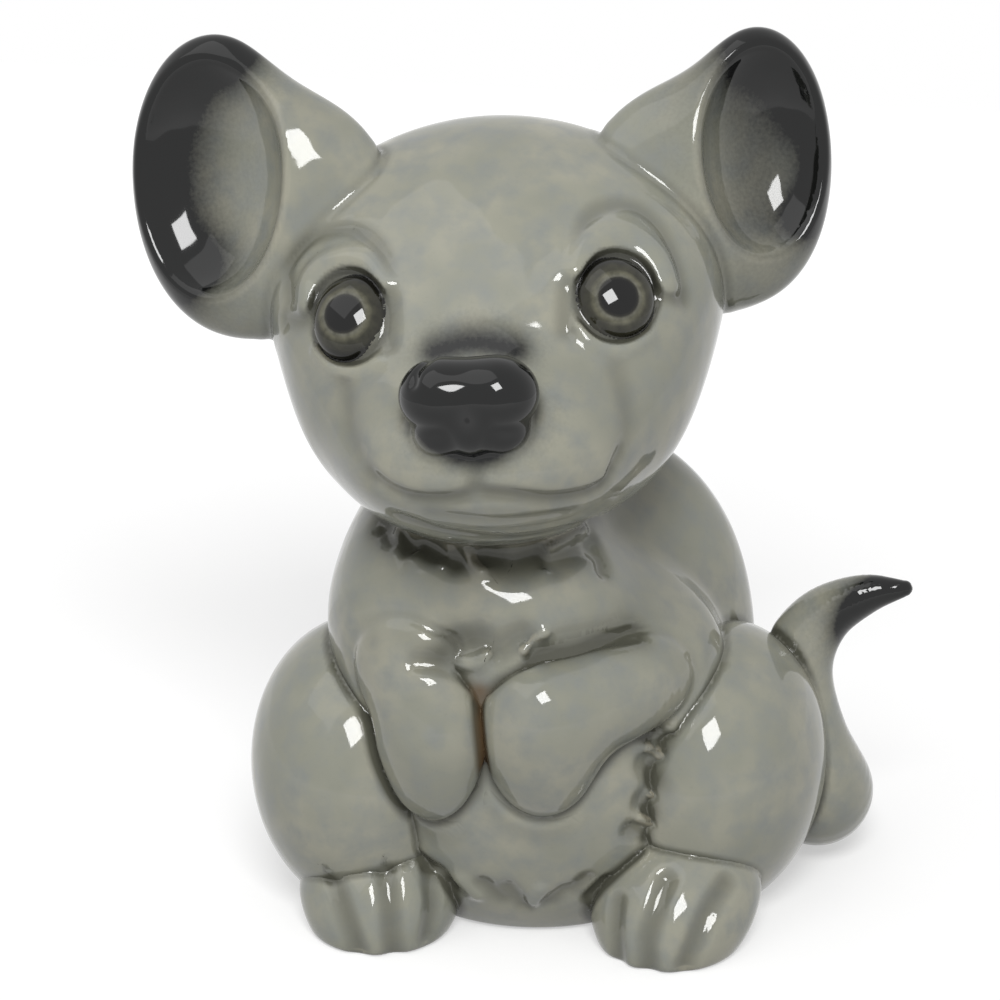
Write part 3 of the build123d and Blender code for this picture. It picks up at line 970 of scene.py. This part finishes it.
# Flat, chalky white: it shows no shine, and only darkens where the figure keeps the light off
paper, tree, shader, place = new_material("matt white paper")
ray = added(tree, "ShaderNodeLightPath").outputs
looked_at = added(
    tree, "ShaderNodeMath",
    ((0, ray["Is Camera Ray"]), (1, ray["Is Glossy Ray"])),
    operation="MAXIMUM",
)
away = added(tree, "ShaderNodeVectorMath", ((0, place),), operation="LENGTH")
lift = added(
    tree, "ShaderNodeMapRange",
    (
        ("Value", away.outputs["Value"]),
        ("From Min", near_floor),
        ("From Max", far_floor),
        ("To Min", near_lift),
        ("To Max", far_lift),
    ),
)
lifted_white = added(
    tree, "ShaderNodeMath",
    ((0, looked_at.outputs[0]), (1, lift.outputs["Result"])),
    operation="MULTIPLY",
)
tree.links.new(lifted_white.outputs[0], shader.inputs["Emission Strength"])
shader.inputs["Emission Color"].default_value = linear("#ffffff")
shader.inputs["Base Color"].default_value = linear("#bfbfbf")
shader.inputs["Roughness"].default_value = 0.9
floor.data.materials.append(paper)

# Light
# A small studio. One square soft box above the camera draws the window-shaped highlights, a wide
# weak one high at the mouse's right fills the shadows, and pale walls light the rest evenly.
lamps = (
    # name, degrees round to the mouse's left and above level, roll, metres away, metres wide, watts
    ("key", 14.0, 43.0, 30.0, 1.0, 0.34, 7.4),
    ("fill", -50.0, 62.0, 0.0, 1.5, 1.2, 4.0),
)
wall_light = 0.48
for name, turn, rise, roll, distance, width, power in lamps:
    turn, rise, roll = np.radians((turn, rise, roll))
    way = np.array((np.sin(turn) * np.cos(rise), -np.cos(turn) * np.cos(rise), np.sin(rise)))
    light = bpy.data.lights.new(name, "AREA")
    light.shape = "SQUARE"
    light.size = width
    light.energy = power
    holder = bpy.data.objects.new(name, light)
    holder.location = np.array(camera_target) * millimetre + way * distance
    aim = Vector(way).to_track_quat("Z", "Y").to_matrix() @ Matrix.Rotation(roll, 3, "Z")
    holder.rotation_euler = aim.to_euler()
    bpy.context.collection.objects.link(holder)
world = bpy.data.worlds.new("studio")
bpy.context.scene.world = world
world.use_nodes = True
tree = world.node_tree
walls = tree.nodes["Background"]
walls.inputs["Color"].default_value = linear("#ffffff")
walls.inputs["Strength"].default_value = wall_light
# What the camera sees behind the figure, straight or in the glaze, is plain white
backdrop = added(tree, "ShaderNodeBackground", (("Color", linear("#ffffff")), ("Strength", 1.0)))
ray = added(tree, "ShaderNodeLightPath").outputs
looked_at = ray["Is Camera Ray"]
for kind in ("Is Glossy Ray", "Is Transmission Ray"):
    either = added(tree, "ShaderNodeMath", ((0, looked_at), (1, ray[kind])), operation="MAXIMUM")
    looked_at = either.outputs[0]
mixed = added(
    tree, "ShaderNodeMixShader",
    ((0, looked_at), (1, walls.outputs[0]), (2, backdrop.outputs[0])),
)
tree.links.new(mixed.outputs[0], tree.nodes["World Output"].inputs["Surface"])

# Camera
# The camera stands where the photograph was taken from and looks at the figure's middle.
film_width = 36.0
nearest_seen = 0.01  # metres
camera_data = bpy.data.cameras.new("camera")
camera_data.sensor_width = film_width
camera_data.lens = film_width * camera_distance / pixel_size / picture_pixels
camera_data.clip_start = nearest_seen
camera = bpy.data.objects.new("camera", camera_data)
camera_pose = np.eye(4)
camera_pose[:3] = np.column_stack((camera_right, camera_up, -camera_look, camera_place * millimetre))
camera.matrix_world = Matrix(camera_pose.tolist())
bpy.context.collection.objects.link(camera)
bpy.context.scene.camera = camera
bpy.context.scene.view_settings.view_transform = "Standard"
